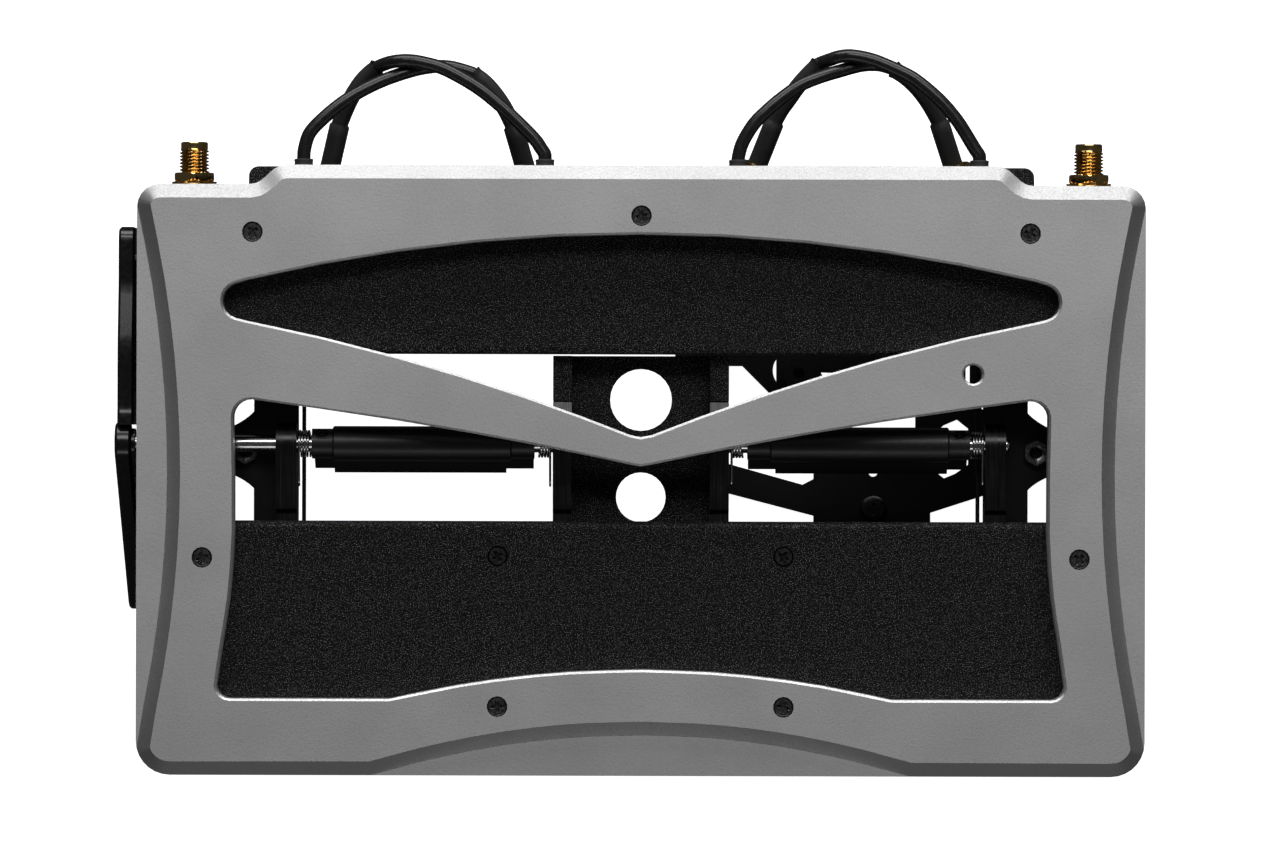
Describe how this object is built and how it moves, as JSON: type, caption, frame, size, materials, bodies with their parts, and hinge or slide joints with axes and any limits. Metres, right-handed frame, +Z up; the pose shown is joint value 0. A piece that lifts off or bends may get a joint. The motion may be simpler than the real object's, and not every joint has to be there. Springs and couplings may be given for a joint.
{
  "type": "wireless receiver unit",
  "caption": "Flat two-slot housing for slot-in wireless receivers: silver windowed top panel, sprung latch bars on one lever, antenna jacks and short antenna jumpers.",
  "frame": {"origin": "centre of the unit's footprint on the surface it lies on, jumpers aside", "axes": "+X across the unit to the right, +Y towards the side where receivers slide in, +Z up out of the top panel"},
  "size_m": [0.2125, 0.1502, 0.0455],
  "materials": {
    "top_panel": "bead-blasted, clear anodised",
    "powder_coat": "fine-textured black powder coat",
    "black_machined": "machined, black anodised",
    "connector_black": "moulded, matte",
    "gloss_black": "semi-gloss black",
    "polished_steel": "polished",
    "gold_plate": "gold plated",
    "dark_screw": "dark zinc",
    "cable_jacket": "satin jacket",
    "heat_shrink": "matte heat-shrink",
    "grommet_rubber": "matte rubber",
    "circuit_board": "solder-masked board"
  },
  "bodies": {
    "housing": {"top_panel": "top_panel", "front_cover": "powder_coat", "front_tray": "powder_coat", "rear_cover": "powder_coat", "rear_box": "powder_coat", "centre_bracket": "powder_coat", "dock_plate": "powder_coat", "left_side_channel": "powder_coat", "right_side_channel": "powder_coat", "left_rail": "black_machined", "right_rail": "black_machined", "left_inner_arm": "black_machined", "right_inner_arm": "black_machined", "left_outer_arm": "black_machined", "right_outer_arm": "black_machined", "left_slot_connector": "connector_black", "right_slot_connector": "connector_black", "lever_guard": "gloss_black", "left_inner_spring": "polished_steel", "right_inner_spring": "polished_steel", "left_outer_spring": "polished_steel", "right_outer_spring": "polished_steel", "left_antenna_jack": "gold_plate", "right_antenna_jack": "gold_plate", "left_jack_nut": "gold_plate", "right_jack_nut": "gold_plate", "dock_screw": "dark_screw", "left_rail_nut": "dark_screw", "right_rail_nut": "dark_screw", "panel_screw_1": "dark_screw", "panel_screw_2": "dark_screw", "panel_screw_3": "dark_screw", "panel_screw_4": "dark_screw", "panel_screw_5": "dark_screw", "panel_screw_6": "dark_screw", "panel_screw_7": "dark_screw", "box_screw_1": "dark_screw", "box_screw_2": "dark_screw", "left_outer_lead": "cable_jacket", "left_inner_lead": "cable_jacket", "right_inner_lead": "cable_jacket", "right_outer_lead": "cable_jacket", "left_outer_plug": "heat_shrink", "left_inner_plug": "heat_shrink", "right_inner_plug": "heat_shrink", "right_outer_plug": "heat_shrink", "left_outer_grommet": "grommet_rubber", "left_inner_grommet": "grommet_rubber", "right_inner_grommet": "grommet_rubber", "right_outer_grommet": "grommet_rubber", "main_board": "circuit_board", "antenna_board": "circuit_board"},
    "latch": {"cross_shaft": "polished_steel", "left_latch_bar": "black_machined", "right_latch_bar": "black_machined", "release_lever": "gloss_black"},
    "left_outer_nut": {"left_outer_coupling_nut": "gold_plate"},
    "left_inner_nut": {"left_inner_coupling_nut": "gold_plate"},
    "right_inner_nut": {"right_inner_coupling_nut": "gold_plate"},
    "right_outer_nut": {"right_outer_coupling_nut": "gold_plate"}
  },
  "joints": [
    {"name": "latch_turn", "type": "hinge", "parent": "housing", "child": "latch", "pos_m": [0.0025, 0.0027, 0.034], "axis": [-1, 0, 0], "range_deg": [0, 40], "stiffness_Nm_per_rad": 0.05, "springref_deg": -20.05},
    {"name": "left_outer_nut_spin", "type": "hinge", "parent": "housing", "child": "left_outer_nut", "pos_m": [-0.02059, 0.05619, 0.02219], "axis": [0.2704, -0.9301, -0.2487], "continuous": true},
    {"name": "left_inner_nut_spin", "type": "hinge", "parent": "housing", "child": "left_inner_nut", "pos_m": [-0.06338, 0.05621, 0.02223], "axis": [-0.2254, -0.9427, -0.2459], "continuous": true},
    {"name": "right_inner_nut_spin", "type": "hinge", "parent": "housing", "child": "right_inner_nut", "pos_m": [0.06857, 0.05733, 0.02252], "axis": [0.31, -0.92, -0.24], "continuous": true},
    {"name": "right_outer_nut_spin", "type": "hinge", "parent": "housing", "child": "right_outer_nut", "pos_m": [0.02526, 0.05757, 0.02254], "axis": [-0.3573, -0.9031, -0.2382], "continuous": true}
  ]
}
